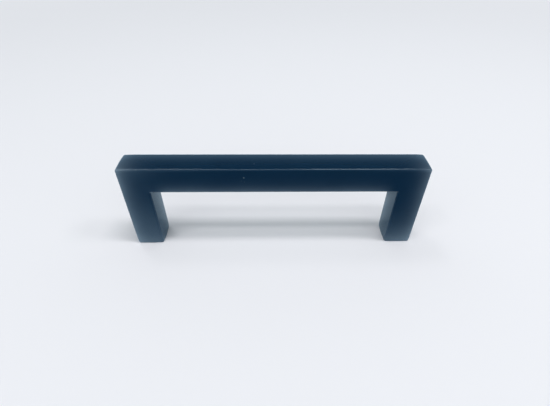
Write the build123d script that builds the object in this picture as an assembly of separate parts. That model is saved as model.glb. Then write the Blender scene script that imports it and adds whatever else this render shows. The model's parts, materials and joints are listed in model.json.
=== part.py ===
"""Square-bar cabinet pull: one U-shaped die casting with a tapped blind hole in each foot.

The handle stands on the plane it is screwed to. X runs along the grip, Y from front to back, and Z
away from the cupboard front. The origin lies midway between the two screw holes, on that plane.
"""

from build123d import *

import math
import os

# The bar, in millimetres
screw_spacing = 96.0  # between the axes of the two screw holes
projection = 35.0  # from the mounting plane to the outer face of the grip
bar_depth = 10.0  # from the front face to the back face
grip_thickness = 10.0  # from the outer face of the grip to its underside
leg_width = 10.0  # of each leg, along the grip

# Its edges
edge_radius = 0.8  # soft edge that runs round the whole bar
root_radius = 0.3  # crisp inside corner where the grip's underside meets a leg
foot_edge_radius = 0.3  # finer edge round each foot, which is ground flat

# The hole in each foot, tapped for an M4 machine screw
thread_diameter = 4.0
thread_pitch = 0.7
thread_depth = 12.0  # of the full bore, up to where the drill's point begins
drill_point_angle = 118.0  # of the cone at the bore's end
mouth_margin = 0.1  # by which the chamfered mouth stands clear of the screw all round
mouth_angle = 90.0  # of the mouth's cone


def u_outline():
    """The handle seen from the front: a plate with the finger opening cut up into it from the feet."""
    plate = Rectangle(screw_spacing + leg_width, projection, align=(Align.CENTER, Align.MIN))
    opening_length = screw_spacing - leg_width
    opening_height = projection - grip_thickness
    opening = Rectangle(opening_length, opening_height, align=(Align.CENTER, Align.MIN))
    opening = fillet(opening.vertices().group_by(Axis.Y)[-1], root_radius)
    return plate - opening


def soften_edges(bar):
    """Rounds the front and back rims and the two outer corners, then, more finely, the rim of each foot."""
    faces_by_depth = bar.faces().sort_by(Axis.Y)
    rims = faces_by_depth[0].edges() + faces_by_depth[-1].edges()
    foot_lines = bar.faces().group_by(Axis.Z)[0].edges()
    outer_corners = bar.edges().filter_by(Axis.Y).group_by(Axis.Z)[-1]
    bar = fillet([edge for edge in rims if edge not in foot_lines] + outer_corners, edge_radius)
    return fillet(bar.faces().group_by(Axis.Z)[0].edges(), foot_edge_radius)


def screw_hole():
    """The space inside one tapped hole: a chamfered mouth, the thread's core and the drill's conical end."""
    core_radius = (thread_diameter - thread_pitch) / 2
    mouth_radius = thread_diameter / 2 + mouth_margin
    mouth_depth = (mouth_radius - core_radius) / math.tan(math.radians(mouth_angle / 2))
    point_depth = core_radius / math.tan(math.radians(drill_point_angle / 2))
    half_section = Polyline(
        (0, 0),
        (mouth_radius, 0),
        (core_radius, mouth_depth),
        (core_radius, thread_depth),
        (0, thread_depth + point_depth),
        close=True,
    )
    return revolve(Plane.XZ * make_face(half_section), Axis.Z)


def pull_handle():
    """The whole casting: the U bar, its soft edges and a screw hole in the middle of each foot."""
    bar = soften_edges(extrude(Plane.XZ * u_outline(), bar_depth / 2, both=True))
    holes = [Pos(side * screw_spacing / 2, 0, 0) * screw_hole() for side in (-1, 1)]
    return bar - holes


os.makedirs("parts", exist_ok=True)
handle = pull_handle()
handle.label = "pull_handle"
export_step(handle, "parts/pull_handle.step")
print("pull_handle", round(handle.volume), "mm3", handle.bounding_box().size)
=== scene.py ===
"""The U-shaped pull handle as it looks: one skin with soft, slightly rolled-off faces, a satin blue-black
coat and a bare tapped thread in each foot.

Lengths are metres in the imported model's frame: X runs along the grip, Y from front to back, and Z up from
the plane that the feet stand on.
"""

import json
import math

import bpy
import numpy as np
from mathutils import Matrix, Vector


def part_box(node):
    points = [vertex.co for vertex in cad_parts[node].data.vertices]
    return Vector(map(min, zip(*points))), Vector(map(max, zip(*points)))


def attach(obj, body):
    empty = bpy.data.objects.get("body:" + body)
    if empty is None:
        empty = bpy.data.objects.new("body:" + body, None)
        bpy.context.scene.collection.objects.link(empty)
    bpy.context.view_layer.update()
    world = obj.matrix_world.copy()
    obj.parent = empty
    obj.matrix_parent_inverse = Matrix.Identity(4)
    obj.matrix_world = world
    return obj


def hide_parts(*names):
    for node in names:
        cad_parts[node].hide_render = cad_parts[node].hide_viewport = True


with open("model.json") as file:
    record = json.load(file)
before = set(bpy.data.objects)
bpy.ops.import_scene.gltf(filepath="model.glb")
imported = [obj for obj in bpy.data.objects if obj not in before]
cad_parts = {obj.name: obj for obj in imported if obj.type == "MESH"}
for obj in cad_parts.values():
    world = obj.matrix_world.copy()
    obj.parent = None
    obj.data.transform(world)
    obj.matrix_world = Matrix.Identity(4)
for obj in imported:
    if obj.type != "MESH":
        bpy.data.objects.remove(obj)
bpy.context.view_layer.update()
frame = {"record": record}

MM = 0.001

# The bar, as packed
low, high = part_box("pull_handle")
screw_holes = next(mount for mount in frame["record"]["mounts"] if mount["name"] == "screw_holes")
LENGTH = high.x - low.x
PROJECTION = high.z
HALF_SIDE = (high.y - low.y) / 2
HALF_SPACING = screw_holes["dims"]["spacing_x_mm"] * MM / 2
CORE_RADIUS = screw_holes["dims"]["hole_r_mm"] * MM
GRIP_AXIS = PROJECTION - HALF_SIDE
UNDERSIDE = PROJECTION - 2 * HALF_SIDE

# Its edges
EDGE_RADIUS = 0.8 * MM
ROOT_RADIUS = 0.3 * MM
FOOT_EDGE_RADIUS = 0.3 * MM

# Radii at which lines of the front and back faces turn from leg to grip: on the bar's axis, halfway out from
# it, and beside the outer edge
AXIS_BEND, HALFWAY_BEND, OUTER_BEND = 2.0 * MM, 1.6 * MM, 0.4 * MM

# How the faces roll off towards their edges, from tumbling before the coat went on
CROWN = math.radians(3.0)  # turn of a face from its middle to its edge
INNER_BULGE = 0.1 * MM  # by which the faces round the finger opening swell further
ROLL_POWER = 3
END_DROP, END_REACH = 0.25 * MM, 6.0 * MM
FOOT_DRAW_IN, FOOT_REACH = 0.12 * MM, 4.0 * MM

# The tapped hole in each foot
THREAD_PITCH = 0.7 * MM
THREAD_RADIUS = 2.0 * MM
THREAD_DEPTH = 12.0 * MM
MOUTH_MARGIN = 0.1 * MM
DRILL_HALF_ANGLE = math.radians(59.0)
POINT_DEPTH = CORE_RADIUS / math.tan(DRILL_HALF_ANGLE)
CREST_SHARE = 0.28  # of half a pitch, on the thread's flat crest
FLANK_SHARE = 0.577  # of half a pitch, on its sloping flank

# Steps of the skin's grid
FACE_STEPS = 24
CORNER_STEPS = 10
LEG_STEPS = 26
BEND_STEPS = 12
GRIP_STEPS = 44
RIM_STEPS = 6
SOLE_STEPS = 5
STEPS_PER_TURN = 10
POINT_STEPS = 3
SHARP_ANGLE = math.radians(30.0)  # past which neighbouring faces aren't smoothed into each other

# Painted highlights: how pale the coat is painted at its most exposed edges and rims, in place of the bright
# reflections there, and how far that reaches
PAINTED_GLOW_ENDS, PAINTED_GLOW_ENDS_REACH = 0.82, 1.8 * MM
PAINTED_GLOW_LEFT_CORNER, PAINTED_GLOW_RIGHT_CORNER = 0.6, 0.42
PAINTED_GLOW_CORNERS_REACH, PAINTED_GLOW_CORNERS_DEPTH = 3.3 * MM, 0.7 * MM
PAINTED_HIGHLIGHT_LEFT_EDGES, PAINTED_HIGHLIGHT_RIGHT_EDGES = 2.4, 0.04
PAINTED_HIGHLIGHT_EDGES_REACH, PAINTED_HIGHLIGHT_EDGES_WIDTH, PAINTED_HIGHLIGHT_EDGES_INSET = 5.0 * MM, 0.2 * MM, 0.35 * MM
PAINTED_GLOW_FEET, PAINTED_GLOW_FEET_REACH = 0.54, 4.0 * MM
PAINTED_GLOW_UNDERSIDE, PAINTED_GLOW_UNDERSIDE_REACH = 0.7, 1.5 * MM
PAINTED_GLOW_UNDERSIDE_START, PAINTED_GLOW_UNDERSIDE_FADE = 1.5 * MM, 5.0 * MM
PAINTED_GLOW_AT_BACK = 0.3  # share of the front's painted glow on the back's ends and corners

# Pale flecks of dust on the coat: the place and radius of each
FLECKS = (
    ((-10.44 * MM, -4.95 * MM, 31.62 * MM), 0.42 * MM),
    ((-10.3 * MM, -4.95 * MM, 29.9 * MM), 0.16 * MM),
    ((-11.4 * MM, -4.95 * MM, 30.3 * MM), 0.16 * MM),
    ((-7.0 * MM, -1.55 * MM, 34.98 * MM), 0.26 * MM),
)

# The coat's colours
DEEP_BLUE = (0.0015, 0.0152, 0.041, 1.0)
CLOUDED_BLUE = (0.0024, 0.0207, 0.0492, 1.0)
# the pale colour of the painted highlights along exposed edges and rims
PAINTED_GLOW_BLUE = (0.132, 0.187, 0.243, 1.0)
DUST_GREY = (0.09, 0.13, 0.17, 1.0)
COOL_GLOSS = (0.67, 0.88, 1.0, 1.0)

# The coat's texture: each noise by its spots per metre and its detail, each bump by its strength and height
CLOUDS = (70.0, 3.0)
ORANGE_PEEL = (1100.0, 1.0)
GRAIN = (4500.0, 2.0)
PEEL_BUMP = (0.06, 0.012 * MM)
GRAIN_BUMP = (0.2, 0.004 * MM)
CLOUD_RANGE = (0.3, 0.7)  # in which nearly all of the clouds' values lie
COAT_ROUGHNESS = (0.198, 0.218)
# how the painted highlights' strength varies with the clouds
UNEVEN_PAINTED_GLOW = (0.8, 1.2)

# The bare zinc in the holes
ZINC_GREY = (0.52, 0.53, 0.54, 1.0)
ZINC_ROUGHNESS = (0.28, 0.48)
TAP_MARKS = (300.0, 300.0, 9000.0)  # spots per metre across the hole and along it
TAP_MARKS_DETAIL = 2.0

# The pale floor, and the distances over which it fades into the backdrop
PALE = (0.808, 0.828, 0.874, 1.0)
FLOOR_SIZE = 6.0
FLOOR_DROP = 0.01 * MM
FLOOR_ROUGHNESS = 0.9
BACKDROP_START, BACKDROP_END = 0.2, 0.8

# The floor as reflections see it: a pale band along the handle, pale again beyond its two ends, with painted
# shade elsewhere
MIRRORED_PALE = (0.63, 0.8, 0.93, 1.0)
# the painted shade that reflections see on the floor outside the pale band
MIRRORED_PAINTED_SHADE = (0.015, 0.03, 0.045, 1.0)
BAND_MIDDLE, BAND_HALF_WIDTH, BAND_FADE = 10 * MM, 12 * MM, 32 * MM
BAND_SLANT = 0.3  # widening of the band to each side, per length towards the left
BAND_FALL = 2.0  # power of its fading
ENDS_MIDDLE, ENDS_START, ENDS_FADE = 14 * MM, 62 * MM, 45 * MM

# Soft boxes: azimuth in degrees from the front towards +X, elevation, width along the grip, height, and the
# share of a plain light level that each gives the floor
SOFT_BOXES = {
    "right_overhead": (71.6, 75.8, 0.374, 0.15, 0.27),
    "right_low": (83, 54, 0.2, 0.2, 0.09),
    "overhead_strip": (330, 69, 0.46, 0.12, 0.11),
    "front_strip": (0, 52, 2.0, 0.3, 0.09),
    "left_front": (301, 58, 0.1, 0.08, 0.04),
    "left_back": (225, 67, 0.16, 0.16, 0.055),
}
LAMP_DISTANCE = 1.2
WARM_LIGHT = (1.0, 0.95, 0.94)

# The light that fills the lamps' shadows, from the horizon up to overhead
COOL_LIGHT = (0.92, 0.99, 1.0, 1.0)
FILL_AT_HORIZON, FILL_OVERHEAD = 1.265, 0.1

# The surround as reflections see it: dim, but behind the handle a glow that ends above the horizon
MIRRORED_LIGHT = (0.55, 0.8, 1.0, 1.0)
MIRRORED_LEVEL = 0.25
GLOW_LEVEL, LEVEL_ABOVE_GLOW = 1.5, 0.02
GLOW_FADE_START, GLOW_FADE_END = 0.437, 0.527  # heights of a direction of length one
GLOW_FULL_BEHIND = 0.4  # how far back such a direction points where the glow is full
SIDEWAYS_SHARE = (0.15, 1.0, 1.0)  # a direction's parts along X, Y and Z that count

# Camera, fitted to the photograph's 550 x 406 frame
FRAME_WIDTH = 550
FOCAL_PIXELS = 356.92
OPTICAL_CENTRE = (279.5, 189.95)
FRAME_CENTRE = (275.0, 203.0)
CAMERA_PLACE = (-0.93 * MM, -100.64 * MM, 103.95 * MM)
CAMERA_YAW = math.radians(1.517)
CAMERA_PITCH = math.radians(39.03)
CAMERA_ROLL = math.radians(-0.786)
NEAREST_SEEN = 1 * MM


def crowded(start, end, count):
    """Values from start to end that crowd towards both, along half a cosine wave."""
    return start + (end - start) * (1 - np.cos(np.linspace(0, np.pi, count))) / 2


def roll_off(distance, drop, reach):
    """How far a face has dropped at a distance from its end: a power of how deep that is in the reach."""
    return drop * np.clip(1 - distance / reach, 0, 1) ** ROLL_POWER


def bar_section():
    """The ring round the square bar, as outward and backward offsets from its axis.

    A face drops by the square of the distance from its middle until it has turned by CROWN, and an arc of
    EDGE_RADIUS takes it on to the next face. A face and its arc, turned by quarter turns, close the ring.
    The inner half is then stretched until the inner face's edges reach the full size, and that face swells
    by a further parabola.
    """
    face_end = HALF_SIDE - EDGE_RADIUS * (math.cos(CROWN) - math.sin(CROWN))
    face_end /= 1 + math.tan(CROWN) / 2
    drop = face_end * math.tan(CROWN) / 2
    across = crowded(-1, 1, FACE_STEPS)
    face = np.stack([HALF_SIDE - drop * across**2, face_end * across])
    angle = np.linspace(CROWN, np.pi / 2 - CROWN, CORNER_STEPS + 2)[1:-1]
    arc_centre = face_end - EDGE_RADIUS * math.sin(CROWN)
    arc = arc_centre + EDGE_RADIUS * np.stack([np.cos(angle), np.sin(angle)])
    side = np.concatenate([face, arc], axis=1)
    quarter_turn = np.array([[0, -1], [1, 0]])
    ring = np.concatenate([np.linalg.matrix_power(quarter_turn, n) @ side for n in range(4)], axis=1)
    inner = ring[0] < 0
    stretch = np.where(inner, HALF_SIDE / (HALF_SIDE - drop), 1)
    swell = np.where(inner, INNER_BULGE * np.clip(1 - (ring[1] / face_end) ** 2, 0, 1), 0)
    return np.stack([ring[0] * stretch - swell, ring[1]])


def bend_radius(outward):
    """Radius at which a line of the skin turns from leg to grip, by its outward offset from the bar's axis.

    It is the root's radius inside and the edge's outside. On the faces between, it is widest on the axis,
    and it changes evenly from each offset to the next.
    """
    flat = HALF_SIDE - EDGE_RADIUS
    offsets = [-HALF_SIDE, -flat, 0, flat / 2, flat, HALF_SIDE]
    radii = [ROOT_RADIUS, ROOT_RADIUS + EDGE_RADIUS, AXIS_BEND, HALFWAY_BEND, OUTER_BEND, EDGE_RADIUS]
    return np.interp(outward, offsets, radii)


def place(side, outward, back, height):
    """Points of one leg from their offsets from its axis: the left leg for side -1, the right for side 1."""
    side, outward, back, height = np.broadcast_arrays(side, outward, back, height)
    return np.stack([side * (HALF_SPACING + outward), back, height], axis=-1)


def tapped_hole(side, ring_angle):
    """The wall of a foot's hole, in rings from the drill's point down to the mouth.

    Its radius is the core plus the thread's groove, a clipped triangle wave along a right-handed helix. Near
    the foot it is at least the chamfered mouth's cone, and at the end it is the cone of the drill's point.
    """
    steps = round(THREAD_DEPTH / THREAD_PITCH * STEPS_PER_TURN)
    bore = np.linspace(0, THREAD_DEPTH, steps + 1)
    point = THREAD_DEPTH + POINT_DEPTH * np.arange(1, POINT_STEPS) / POINT_STEPS
    depth = np.append(bore, point)[::-1, None]
    world_angle = ring_angle if side > 0 else np.pi - ring_angle
    wave = 1 - np.abs(2 * ((depth / THREAD_PITCH - world_angle / (2 * np.pi)) % 1) - 1)
    groove = np.clip((wave - CREST_SHARE) / FLANK_SHARE, 0, 1)
    groove = groove * np.clip((THREAD_DEPTH - depth) / THREAD_PITCH, 0, 1)
    mouth_cone = THREAD_RADIUS + MOUTH_MARGIN - depth
    point_cone = (THREAD_DEPTH + POINT_DEPTH - depth) * math.tan(DRILL_HALF_ANGLE)
    radius = np.maximum(CORE_RADIUS + (THREAD_RADIUS - CORE_RADIUS) * groove, mouth_cone)
    radius = np.where(depth > THREAD_DEPTH, point_cone, radius)
    return place(side, radius * np.cos(ring_angle), radius * np.sin(ring_angle), depth)


def foot(side, section, ring_angle):
    """The flat sole from the hole's mouth out to the rim, then the rim's quarter round up to the leg."""
    mouth = (THREAD_RADIUS + MOUTH_MARGIN) * np.stack([np.cos(ring_angle), np.sin(ring_angle)])
    shrink = 1 - (FOOT_EDGE_RADIUS + FOOT_DRAW_IN) / HALF_SIDE
    share = np.arange(1, SOLE_STEPS + 1)[:, None, None] / SOLE_STEPS
    sole = mouth + share * (section * shrink - mouth)
    turn = np.linspace(0, np.pi / 2, RIM_STEPS + 1)[1:, None]
    rise = FOOT_EDGE_RADIUS * (1 - np.cos(turn))
    inset = FOOT_EDGE_RADIUS * (1 - np.sin(turn)) + roll_off(rise, FOOT_DRAW_IN, FOOT_REACH)
    rim = section[:, None] * (1 - inset / HALF_SIDE)
    return np.concatenate([place(side, sole[:, 0], sole[:, 1], 0), place(side, *rim, rise)])


def leg(side, section):
    """The leg from its rim to the start of the bend, with the section drawn in slightly towards the foot."""
    top = GRIP_AXIS + section[0] - bend_radius(section[0])
    share = crowded(0, 1, LEG_STEPS)[1:, None]
    height = FOOT_EDGE_RADIUS + share * (top - FOOT_EDGE_RADIUS)
    inset = roll_off(height, FOOT_DRAW_IN, FOOT_REACH)
    return place(side, *(section[:, None] * (1 - inset / HALF_SIDE)), height)


def bend(side, section):
    """The quarter turn from leg to grip: each line of the skin turns on an arc of its own bend radius."""
    radius = bend_radius(section[0])
    turn = np.linspace(0, np.pi / 2, BEND_STEPS + 1)[1:, None]
    outward = section[0] - radius * (1 - np.cos(turn))
    height = GRIP_AXIS + section[0] - radius * (1 - np.sin(turn))
    return place(side, outward, section[1], height)


def grip(section):
    """The straight grip between the two bends."""
    share = crowded(-1, 1, GRIP_STEPS)[1:-1, None]
    along = share * (HALF_SPACING + section[0] - bend_radius(section[0]))
    along, back, height = np.broadcast_arrays(along, section[1], GRIP_AXIS + section[0])
    return np.stack([along, back, height], axis=-1)


def round_the_ends(points):
    """Rolls the grip's outer face off towards its two ends."""
    near_top = np.clip((points[..., 2] - GRIP_AXIS) / HALF_SIDE, 0, 1) ** 2
    points[..., 2] -= near_top * roll_off(LENGTH / 2 - np.abs(points[..., 0]), END_DROP, END_REACH)


def handle_skin():
    """The whole skin as rings, from the end of the left hole, round the U, to the end of the right hole.

    Returns the rings' points and, for each ring, whether it lies in a hole's bare wall.
    """
    section = bar_section()
    start = math.atan2(section[1, 0], section[0, 0])
    ring_angle = start + np.arange(section.shape[1]) * 2 * np.pi / section.shape[1]
    halves, bare = [], []
    for side in (-1, 1):
        hole = tapped_hole(side, ring_angle)
        rings = [hole, foot(side, section, ring_angle), leg(side, section), bend(side, section)]
        halves.append(np.concatenate(rings))
        bare.append(np.arange(len(halves[-1])) < len(hole))
    middle = grip(section)
    points = np.concatenate([halves[0], middle, halves[1][::-1]])
    round_the_ends(points)
    return points, np.concatenate([bare[0], np.zeros(len(middle), bool), bare[1][::-1]])


def fading(distance, reach):
    """One at no distance, falling off exponentially over the reach."""
    return np.exp(-np.maximum(distance, 0) / reach)


def painted_glow_share(points):
    """How pale a highlight is painted into the coat: a sum of five shares, each fading with the distance
    from its place.

    Painted glow lies along the ends' rims, and on the two outer corners most on the left, both of them less
    towards the back. A painted highlight line runs just inside the grip's two outer edges towards the ends,
    almost only on the left. The feet and, clear of the legs, the grip's underside have painted glow along
    their rims.
    """
    along, across, height = points.T
    from_end = LENGTH / 2 - np.abs(along)
    from_side = HALF_SIDE - np.abs(across)
    from_top = PROJECTION - height
    from_legs = HALF_SPACING - HALF_SIDE - np.abs(along)
    from_edge_line = np.hypot(from_side - PAINTED_HIGHLIGHT_EDGES_INSET, from_top)
    on_left = along < 0
    front_to_back = np.interp(across, [-HALF_SIDE, HALF_SIDE], [1, PAINTED_GLOW_AT_BACK])

    ends = PAINTED_GLOW_ENDS * front_to_back
    ends = ends * fading(from_side, PAINTED_GLOW_ENDS_REACH) * fading(from_end, PAINTED_GLOW_ENDS_REACH)
    corners = np.where(on_left, PAINTED_GLOW_LEFT_CORNER, PAINTED_GLOW_RIGHT_CORNER) * front_to_back
    corners = corners * fading(from_end, PAINTED_GLOW_CORNERS_REACH) * fading(from_top, PAINTED_GLOW_CORNERS_DEPTH)
    edges = np.where(on_left, PAINTED_HIGHLIGHT_LEFT_EDGES, PAINTED_HIGHLIGHT_RIGHT_EDGES)
    edges = edges * fading(from_edge_line, PAINTED_HIGHLIGHT_EDGES_WIDTH) * fading(from_end, PAINTED_HIGHLIGHT_EDGES_REACH)
    feet = PAINTED_GLOW_FEET * fading(from_side, PAINTED_GLOW_FEET_REACH) * fading(height, PAINTED_GLOW_FEET_REACH)
    underside = PAINTED_GLOW_UNDERSIDE * fading(from_side, PAINTED_GLOW_UNDERSIDE_REACH)
    underside = underside * fading(np.abs(height - UNDERSIDE), PAINTED_GLOW_UNDERSIDE_REACH)
    underside = underside * np.clip((from_legs - PAINTED_GLOW_UNDERSIDE_START) / PAINTED_GLOW_UNDERSIDE_FADE, 0, 1)
    return np.clip(ends + corners + edges + feet + underside, 0, 1)


def closed_mesh(name, rings, poles, bare):
    """A mesh of quads between neighbouring rings, closed by a fan of triangles at each end."""
    count, size = rings.shape[:2]
    grid = np.arange(count * size).reshape(count, size)
    after = np.roll(grid, -1, axis=1)
    quads = np.stack([grid[:-1], grid[1:], after[1:], after[:-1]], axis=-1).reshape(-1, 4)
    first, last = count * size, count * size + 1
    start_fan = np.stack([np.full(size, first), grid[0], after[0]], axis=-1)
    end_fan = np.stack([np.full(size, last), after[-1], grid[-1]], axis=-1)
    fans = np.concatenate([start_fan, end_fan])
    corners = np.concatenate([quads.ravel(), fans.ravel()])
    sizes = np.concatenate([np.full(len(quads), 4), np.full(len(fans), 3)])
    starts = np.concatenate([[0], np.cumsum(sizes)[:-1]])
    in_hole = np.concatenate([np.repeat(bare[:-1] & bare[1:], size), np.ones(len(fans), bool)])
    points = np.concatenate([rings.reshape(-1, 3), poles])

    mesh = bpy.data.meshes.new(name)
    mesh.vertices.add(len(points))
    mesh.loops.add(len(corners))
    mesh.polygons.add(len(sizes))
    mesh.vertices.foreach_set("co", points.astype(np.float32).ravel())
    mesh.loops.foreach_set("vertex_index", corners.astype(np.int32))
    mesh.polygons.foreach_set("loop_start", starts.astype(np.int32))
    mesh.polygons.foreach_set("material_index", in_hole.astype(np.int32))
    # how strongly a highlight is painted into the coat at each point
    painted_glow = mesh.attributes.new("painted_glow", "FLOAT", "POINT")
    painted_glow.data.foreach_set("value", painted_glow_share(points).astype(np.float32))
    mesh.update(calc_edges=True)
    mesh.validate()
    mesh.shade_smooth()
    mesh.set_sharp_from_angle(angle=SHARP_ANGLE)
    return mesh


def add_node(tree, kind, sockets=None, **settings):
    """Adds a node with its settings, and gives each named socket a value or a link."""
    node = tree.nodes.new(kind)
    for name, value in settings.items():
        setattr(node, name, value)
    for name, value in (sockets or {}).items():
        if isinstance(value, bpy.types.NodeSocket):
            tree.links.new(value, node.inputs[name])
        else:
            node.inputs[name].default_value = value
    return node


def arithmetic(tree, operation, *values):
    """The result of one arithmetic step on numbers or links."""
    return add_node(tree, "ShaderNodeMath", dict(enumerate(values)), operation=operation).outputs[0]


def ramp(tree, value, start, end, first=0.0, last=1.0, curve="LINEAR"):
    """Goes from the first level to the last as the value goes from start to end, and stays level beyond."""
    sockets = {"Value": value, "From Min": start, "From Max": end, "To Min": first, "To Max": last}
    return add_node(tree, "ShaderNodeMapRange", sockets, interpolation_type=curve).outputs["Result"]


def mixed_colour(tree, share, first, second):
    """The first colour with a share of the second mixed in."""
    return add_node(tree, "ShaderNodeMix", {0: share, 6: first, 7: second}, data_type="RGBA").outputs[2]


def mixed_shader(tree, share, first, second):
    """The first shader with a share of the second mixed in."""
    return add_node(tree, "ShaderNodeMixShader", {0: share, 1: first, 2: second}).outputs[0]


def background(tree, colour, level):
    """Light of a colour and level from all round."""
    return add_node(tree, "ShaderNodeBackground", {"Color": colour, "Strength": level}).outputs["Background"]


def noise(tree, position, scale, detail):
    """A soft noise with a scale of spots to the metre and a detail of finer layers."""
    sockets = {"Vector": position, "Scale": scale, "Detail": detail}
    return add_node(tree, "ShaderNodeTexNoise", sockets).outputs["Fac"]


def bump(tree, height, strength, distance, under=None):
    """The normals of a bumpy skin, which lies on another one where that is given."""
    sockets = {"Height": height, "Strength": strength, "Distance": distance}
    if under is not None:
        sockets["Normal"] = under
    return add_node(tree, "ShaderNodeBump", sockets).outputs["Normal"]


def new_material(name):
    """A material with an empty node tree, its output and a principled shader."""
    material = bpy.data.materials.new(name)
    material.use_nodes = True
    tree = material.node_tree
    tree.nodes.clear()
    shader = add_node(tree, "ShaderNodeBsdfPrincipled")
    add_node(tree, "ShaderNodeOutputMaterial", {"Surface": shader.outputs["BSDF"]})
    return material, tree, shader


def dust(tree, position):
    """How thick dust lies: each fleck fades from its middle to its rim, and elsewhere there is none."""
    thickness = 0.0
    for middle, radius in FLECKS:
        away = add_node(tree, "ShaderNodeVectorMath", {0: position, 1: middle}, operation="DISTANCE")
        fleck = ramp(tree, away.outputs["Value"], 0.0, radius, 1.0, 0.0, "SMOOTHSTEP")
        thickness = arithmetic(tree, "MAXIMUM", fleck, thickness)
    return thickness


def satin_coat():
    """The blue-black coat: deep colour with faint clouds, an orange peel with a fine grain, and an uneven
    satin gloss. Pale highlights are painted into its colour along its exposed edges and rims, and it carries
    a few flecks of dust.
    """
    material, tree, shader = new_material("satin_blue_black_coat")
    position = add_node(tree, "ShaderNodeTexCoord").outputs["Object"]
    cloud = noise(tree, position, *CLOUDS)
    # painted highlights: the coat turns paler towards its exposed edges and rims, by the mesh's share
    painted_glow = add_node(tree, "ShaderNodeAttribute", attribute_name="painted_glow").outputs["Fac"]
    painted_glow_amount = arithmetic(tree, "MULTIPLY", painted_glow, ramp(tree, cloud, *CLOUD_RANGE, *UNEVEN_PAINTED_GLOW))
    clouded = mixed_colour(tree, cloud, DEEP_BLUE, CLOUDED_BLUE)
    painted_glow_colour = mixed_colour(tree, painted_glow_amount, clouded, PAINTED_GLOW_BLUE)
    dusty_colour = mixed_colour(tree, dust(tree, position), painted_glow_colour, DUST_GREY)
    gloss = ramp(tree, cloud, *CLOUD_RANGE, *COAT_ROUGHNESS)
    peel = bump(tree, noise(tree, position, *ORANGE_PEEL), *PEEL_BUMP)
    grain = bump(tree, noise(tree, position, *GRAIN), *GRAIN_BUMP, under=peel)
    tree.links.new(dusty_colour, shader.inputs["Base Color"])
    tree.links.new(gloss, shader.inputs["Roughness"])
    tree.links.new(grain, shader.inputs["Normal"])
    shader.inputs["Specular Tint"].default_value = COOL_GLOSS
    return material


def bare_zinc():
    """The cut metal in the holes: grey, with faint rings left by the tap."""
    material, tree, shader = new_material("bare_zinc")
    position = add_node(tree, "ShaderNodeTexCoord").outputs["Object"]
    stretched = add_node(tree, "ShaderNodeMapping", {"Vector": position, "Scale": TAP_MARKS})
    marks = noise(tree, stretched.outputs["Vector"], 1.0, TAP_MARKS_DETAIL)
    gloss = ramp(tree, marks, 0.0, 1.0, *ZINC_ROUGHNESS)
    tree.links.new(gloss, shader.inputs["Roughness"])
    shader.inputs["Base Color"].default_value = ZINC_GREY
    shader.inputs["Metallic"].default_value = 1.0
    return material


def dressed_handle():
    """The handle's piece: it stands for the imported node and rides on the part's one body."""
    rings, bare = handle_skin()
    poles = place(np.array([-1, 1]), 0, 0, THREAD_DEPTH + POINT_DEPTH)
    piece = bpy.data.objects.new("coated_handle", closed_mesh("coated_handle", rings, poles, bare))
    bpy.context.scene.collection.objects.link(piece)
    piece.data.materials.append(satin_coat())
    piece.data.materials.append(bare_zinc())
    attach(piece, "root")
    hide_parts("pull_handle")


def mirrored_floor(tree, position):
    """The floor's colour in reflections: pale within a band along the handle, which is wider on the left,
    and again beyond the handle's two ends, and elsewhere a painted shade.
    """
    axes = add_node(tree, "ShaderNodeSeparateXYZ", {"Vector": position})
    back, right = axes.outputs["Y"], axes.outputs["X"]
    away = arithmetic(tree, "ABSOLUTE", arithmetic(tree, "SUBTRACT", back, BAND_MIDDLE))
    slanted = arithmetic(tree, "MULTIPLY_ADD", right, BAND_SLANT, away)
    nearest = arithmetic(tree, "MINIMUM", away, slanted)
    near = ramp(tree, nearest, BAND_HALF_WIDTH, BAND_HALF_WIDTH + BAND_FADE, 1.0, 0.0)
    in_band = arithmetic(tree, "POWER", near, BAND_FALL)
    along = arithmetic(tree, "ABSOLUTE", arithmetic(tree, "SUBTRACT", right, ENDS_MIDDLE))
    beyond_ends = ramp(tree, along, ENDS_START, ENDS_START + ENDS_FADE, curve="SMOOTHSTEP")
    lit = arithmetic(tree, "MAXIMUM", in_band, beyond_ends)
    return mixed_colour(tree, lit, MIRRORED_PAINTED_SHADE, MIRRORED_PALE)


def pale_matt():
    """The floor's finish: plain and pale, as the camera sees it, and fading far away into a backdrop of the
    same colour. Reflections see it in a colour of their own, with painted shade outside a pale band along
    the handle and beyond its ends.
    """
    material, tree, shader = new_material("pale_floor")
    path = add_node(tree, "ShaderNodeLightPath")
    position = add_node(tree, "ShaderNodeTexCoord").outputs["Object"]
    colour = mixed_colour(tree, path.outputs["Is Glossy Ray"], PALE, mirrored_floor(tree, position))
    tree.links.new(colour, shader.inputs["Base Color"])
    shader.inputs["Roughness"].default_value = FLOOR_ROUGHNESS
    shader.inputs["Specular IOR Level"].default_value = 0.0
    distance = add_node(tree, "ShaderNodeVectorMath", {0: position}, operation="LENGTH")
    far = ramp(tree, distance.outputs["Value"], BACKDROP_START, BACKDROP_END, curve="SMOOTHSTEP")
    seen_far = arithmetic(tree, "MULTIPLY", far, path.outputs["Is Camera Ray"])
    backdrop = add_node(tree, "ShaderNodeEmission", {"Color": PALE})
    surface = mixed_shader(tree, seen_far, shader.outputs["BSDF"], backdrop.outputs["Emission"])
    tree.links.new(surface, tree.get_output_node("ALL").inputs["Surface"])
    return material


def pale_floor():
    """A wide flat floor, a hair under the feet."""
    corners = FLOOR_SIZE / 2 * np.array([[-1, -1], [1, -1], [1, 1], [-1, 1]])
    mesh = bpy.data.meshes.new("floor")
    mesh.from_pydata([(x, y, -FLOOR_DROP) for x, y in corners], [], [(0, 1, 2, 3)])
    mesh.materials.append(pale_matt())
    floor = bpy.data.objects.new("floor", mesh)
    bpy.context.scene.collection.objects.link(floor)


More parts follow.
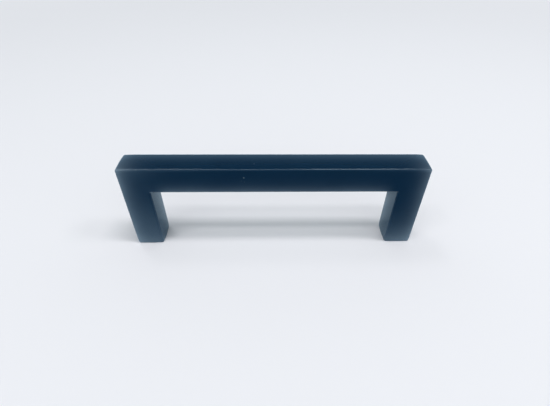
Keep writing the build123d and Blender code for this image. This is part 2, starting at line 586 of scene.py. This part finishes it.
def soft_box(name, azimuth, elevation, width, height, share):
    """A lamp that faces the handle from an azimuth and an elevation, with its width along the grip.

    Its power gives the floor that share of a plain light level, at which a colour renders as it is written:
    the share times the square of pi times the distance, over the sine of the elevation.
    """
    a, e = math.radians(azimuth), math.radians(elevation)
    lamp = bpy.data.lights.new(name, "AREA")
    lamp.shape = "RECTANGLE"
    lamp.size, lamp.size_y = width, height
    lamp.energy = share * (math.pi * LAMP_DISTANCE) ** 2 / math.sin(e)
    lamp.color = WARM_LIGHT
    away = Vector((math.sin(a) * math.cos(e), -math.cos(a) * math.cos(e), math.sin(e)))
    along = (Vector((1, 0, 0)) - away.x * away).normalized()
    facing = Matrix((along, away.cross(along), away)).transposed().to_4x4()
    box = bpy.data.objects.new(name, lamp)
    box.matrix_world = Matrix.Translation(LAMP_DISTANCE * away) @ facing
    bpy.context.scene.collection.objects.link(box)


def mirrored_level(tree, direction):
    """How bright reflections see the surround: one level in front of the handle and, behind it, a glow that
    fades out above the horizon. A direction's sideways part hardly counts, so the glow reaches far round.
    """
    sockets = {0: direction, 1: SIDEWAYS_SHARE}
    squeezed = add_node(tree, "ShaderNodeVectorMath", sockets, operation="MULTIPLY")
    turned = add_node(tree, "ShaderNodeVectorMath", {0: squeezed.outputs["Vector"]}, operation="NORMALIZE")
    axes = add_node(tree, "ShaderNodeSeparateXYZ", {"Vector": turned.outputs["Vector"]})
    glow = ramp(tree, axes.outputs["Z"], GLOW_FADE_START, GLOW_FADE_END, GLOW_LEVEL, LEVEL_ABOVE_GLOW)
    behind = ramp(tree, axes.outputs["Y"], 0.0, GLOW_FULL_BEHIND)
    return add_node(tree, "ShaderNodeMix", {0: behind, 2: MIRRORED_LEVEL, 3: glow}).outputs[0]


def surround():
    """The light from all round: a fill that fades from the horizon upwards, a dim level with a glow behind
    the handle for reflections, and the pale backdrop for the camera.
    """
    world = bpy.data.worlds.new("surround")
    world.use_nodes = True
    tree = world.node_tree
    tree.nodes.clear()
    path = add_node(tree, "ShaderNodeLightPath")
    direction = add_node(tree, "ShaderNodeTexCoord").outputs["Generated"]
    height = add_node(tree, "ShaderNodeSeparateXYZ", {"Vector": direction}).outputs["Z"]
    fill = background(tree, COOL_LIGHT, ramp(tree, height, 0.0, 1.0, FILL_AT_HORIZON, FILL_OVERHEAD))
    mirrored = background(tree, MIRRORED_LIGHT, mirrored_level(tree, direction))
    seen = background(tree, PALE, 1.0)
    unseen = mixed_shader(tree, path.outputs["Is Glossy Ray"], fill, mirrored)
    light = mixed_shader(tree, path.outputs["Is Camera Ray"], unseen, seen)
    add_node(tree, "ShaderNodeOutputWorld", {"Surface": light})
    bpy.context.scene.world = world


def studio():
    """Soft boxes round the ceiling, which cast the handle's soft shadows, and the surround."""
    for name, settings in SOFT_BOXES.items():
        soft_box(name, *settings)
    surround()


def photo_camera():
    """The camera at the photograph's place: its optical centre lies a few pixels off the frame's middle."""
    camera = bpy.data.cameras.new("camera")
    camera.lens = FOCAL_PIXELS / FRAME_WIDTH * camera.sensor_width
    camera.shift_x = (FRAME_CENTRE[0] - OPTICAL_CENTRE[0]) / FRAME_WIDTH
    camera.shift_y = (OPTICAL_CENTRE[1] - FRAME_CENTRE[1]) / FRAME_WIDTH
    camera.clip_start = NEAREST_SEEN
    stand = bpy.data.objects.new("camera", camera)
    turned = Matrix.Rotation(-CAMERA_YAW, 4, "Z") @ Matrix.Rotation(math.pi / 2 - CAMERA_PITCH, 4, "X")
    stand.matrix_world = Matrix.Translation(CAMERA_PLACE) @ turned @ Matrix.Rotation(-CAMERA_ROLL, 4, "Z")
    bpy.context.scene.collection.objects.link(stand)
    bpy.context.scene.camera = stand


dressed_handle()
pale_floor()
studio()
photo_camera()
bpy.context.scene.view_settings.view_transform = "Standard"
